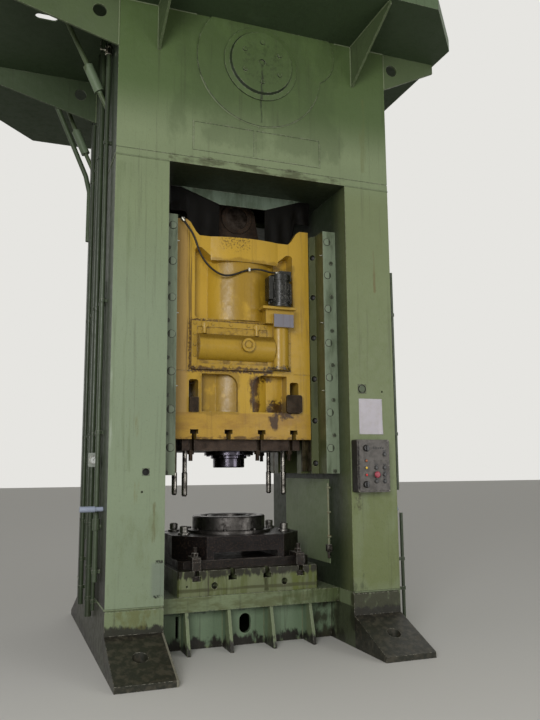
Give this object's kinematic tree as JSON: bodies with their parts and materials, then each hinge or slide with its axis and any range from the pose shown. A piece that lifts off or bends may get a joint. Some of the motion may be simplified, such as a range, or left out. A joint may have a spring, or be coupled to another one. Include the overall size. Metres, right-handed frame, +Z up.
{
  "type": "trimming press",
  "caption": "Straight-sided crank press with a trimming die: bed, columns, crown, guided slide, crank drive with gear and flywheel, platform and control box.",
  "frame": {"origin": "on the floor under the middle of the slide", "axes": "+X along the front to the right, +Y from the front to the back, +Z up"},
  "size_m": [4.15, 3.885, 6.78],
  "materials": {
    "frame_green": "satin",
    "slide_yellow": "satin",
    "machine_steel": "satin",
    "cast_grey": "matte",
    "bronze": "satin",
    "die_brown": "oily",
    "black_rubber": "matte",
    "motor_black": "satin",
    "box_grey": "satin",
    "button_black": "satin",
    "stop_red": "gloss",
    "fitting_pale": "satin"
  },
  "bodies": {
    "frame": {"bed": "frame_green", "left_column": "frame_green", "right_column": "frame_green", "crown": "frame_green", "tie_rods": "machine_steel", "bolster": "frame_green", "guide_blocks": "frame_green", "guide_liners": "bronze", "guide_bolts": "machine_steel", "platform_deck": "frame_green", "platform_brackets": "frame_green", "oil_apron": "black_rubber", "shaft_bushes": "bronze", "shaft_end_cover": "frame_green", "drive_belts": "black_rubber", "drive_motor": "frame_green", "lower_die_shoe": "die_brown", "lower_die_block": "die_brown", "guide_bushes": "machine_steel", "trimming_ring": "machine_steel", "die_clamps": "die_brown", "control_box": "box_grey", "side_pipes": "frame_green", "side_fittings": "fitting_pale", "air_gauge": "fitting_pale"},
    "crank": {"crankshaft": "machine_steel", "bull_gear": "cast_grey"},
    "pinion": {"pinion_shaft": "machine_steel", "clutch_brake": "cast_grey"},
    "flywheel": {"flywheel": "frame_green"},
    "motor_rotor": {"motor_pulley": "cast_grey"},
    "wrist": {"adjusting_screw": "machine_steel", "wrist_pin": "machine_steel"},
    "rod": {"connecting_rod": "cast_grey", "rod_cap": "cast_grey", "crank_pin": "machine_steel"},
    "slide": {"slide": "slide_yellow", "adjusting_nut": "bronze", "nut_retainer": "machine_steel", "worm_shaft": "machine_steel", "worm_cover": "slide_yellow", "drive_housing": "slide_yellow", "coupling_box": "box_grey", "adjusting_motor": "motor_black", "motor_cable": "black_rubber", "cable_fittings": "machine_steel", "upper_die_plate": "die_brown", "upper_bolts": "die_brown", "punch": "machine_steel", "guide_pins": "machine_steel"},
    "knockout": {"knockout_bars": "die_brown"},
    "stop_head": {"emergency_stop": "stop_red"},
    "mode_knob": {"mode_switch": "button_black"},
    "stroke_knob": {"stroke_switch": "button_black"},
    "speed_button_cap": {"speed_button": "button_black"},
    "inch_button_cap": {"inch_button": "button_black"},
    "up_button_cap": {"up_button": "button_black"},
    "start_button_cap": {"start_button": "button_black"},
    "down_button_cap": {"down_button": "button_black"},
    "lamp_test_button_cap": {"lamp_test_button": "button_black"}
  },
  "joints": [
    {"name": "crank_turn", "type": "hinge", "parent": "frame", "child": "crank", "pos_m": [0, 0, 5.114], "axis": [0, 1, 0], "range_deg": [0, 180]},
    {"name": "pinion_turn", "type": "hinge", "parent": "frame", "child": "pinion", "pos_m": [0, 0, 5.884], "axis": [0, 1, 0], "range_deg": [-744, 0]},
    {"name": "flywheel_spin", "type": "hinge", "parent": "frame", "child": "flywheel", "pos_m": [0, 1.12, 5.884], "axis": [0, 1, 0], "continuous": true},
    {"name": "motor_spin", "type": "hinge", "parent": "frame", "child": "motor_rotor", "pos_m": [-0.64, 1.12, 6.49], "axis": [0, 1, 0], "continuous": true},
    {"name": "slide_stroke", "type": "slide", "parent": "frame", "child": "wrist", "axis": [0, 0, -1], "range_m": [0, 0.45]},
    {"name": "rod_swing", "type": "hinge", "parent": "wrist", "child": "rod", "pos_m": [0, 0, 3.899], "axis": [0, 1, 0], "range_deg": [-8.99, 8.99]},
    {"name": "die_height", "type": "slide", "parent": "wrist", "child": "slide", "axis": [0, 0, 1], "range_m": [-0.06, 0.08]},
    {"name": "knockout_lift", "type": "slide", "parent": "slide", "child": "knockout", "axis": [0, 0, 1], "range_m": [0, 0.15]},
    {"name": "speed_button_press", "type": "slide", "parent": "frame", "child": "speed_button_cap", "axis": [0, 1, 0], "range_m": [0, 0.005], "stiffness_N_per_m": 600},
    {"name": "inch_button_press", "type": "slide", "parent": "frame", "child": "inch_button_cap", "axis": [0, 1, 0], "range_m": [0, 0.005], "stiffness_N_per_m": 600},
    {"name": "up_button_press", "type": "slide", "parent": "frame", "child": "up_button_cap", "axis": [0, 1, 0], "range_m": [0, 0.005], "stiffness_N_per_m": 600},
    {"name": "start_button_press", "type": "slide", "parent": "frame", "child": "start_button_cap", "axis": [0, 1, 0], "range_m": [0, 0.005], "stiffness_N_per_m": 600},
    {"name": "down_button_press", "type": "slide", "parent": "frame", "child": "down_button_cap", "axis": [0, 1, 0], "range_m": [0, 0.005], "stiffness_N_per_m": 600},
    {"name": "lamp_test_button_press", "type": "slide", "parent": "frame", "child": "lamp_test_button_cap", "axis": [0, 1, 0], "range_m": [0, 0.005], "stiffness_N_per_m": 600},
    {"name": "stop_press", "type": "slide", "parent": "frame", "child": "stop_head", "axis": [0, 1, 0], "range_m": [0, 0.008]},
    {"name": "mode_turn", "type": "hinge", "parent": "frame", "child": "mode_knob", "pos_m": [0.914, -1.062, 1.667], "axis": [0, 1, 0], "range_deg": [-45, 45]},
    {"name": "stroke_turn", "type": "hinge", "parent": "frame", "child": "stroke_knob", "pos_m": [0.908, -1.062, 1.357], "axis": [0, 1, 0], "range_deg": [-45, 45]}
  ],
  "couplings": [
    {"joint": "pinion_turn", "follows": "crank_turn", "ratio": -4.1333},
    {"joint": "slide_stroke", "follows": "crank_turn", "m_per_rad": 0.14324},
    {"joint": "motor_spin", "follows": "flywheel_spin", "ratio": 5}
  ]
}
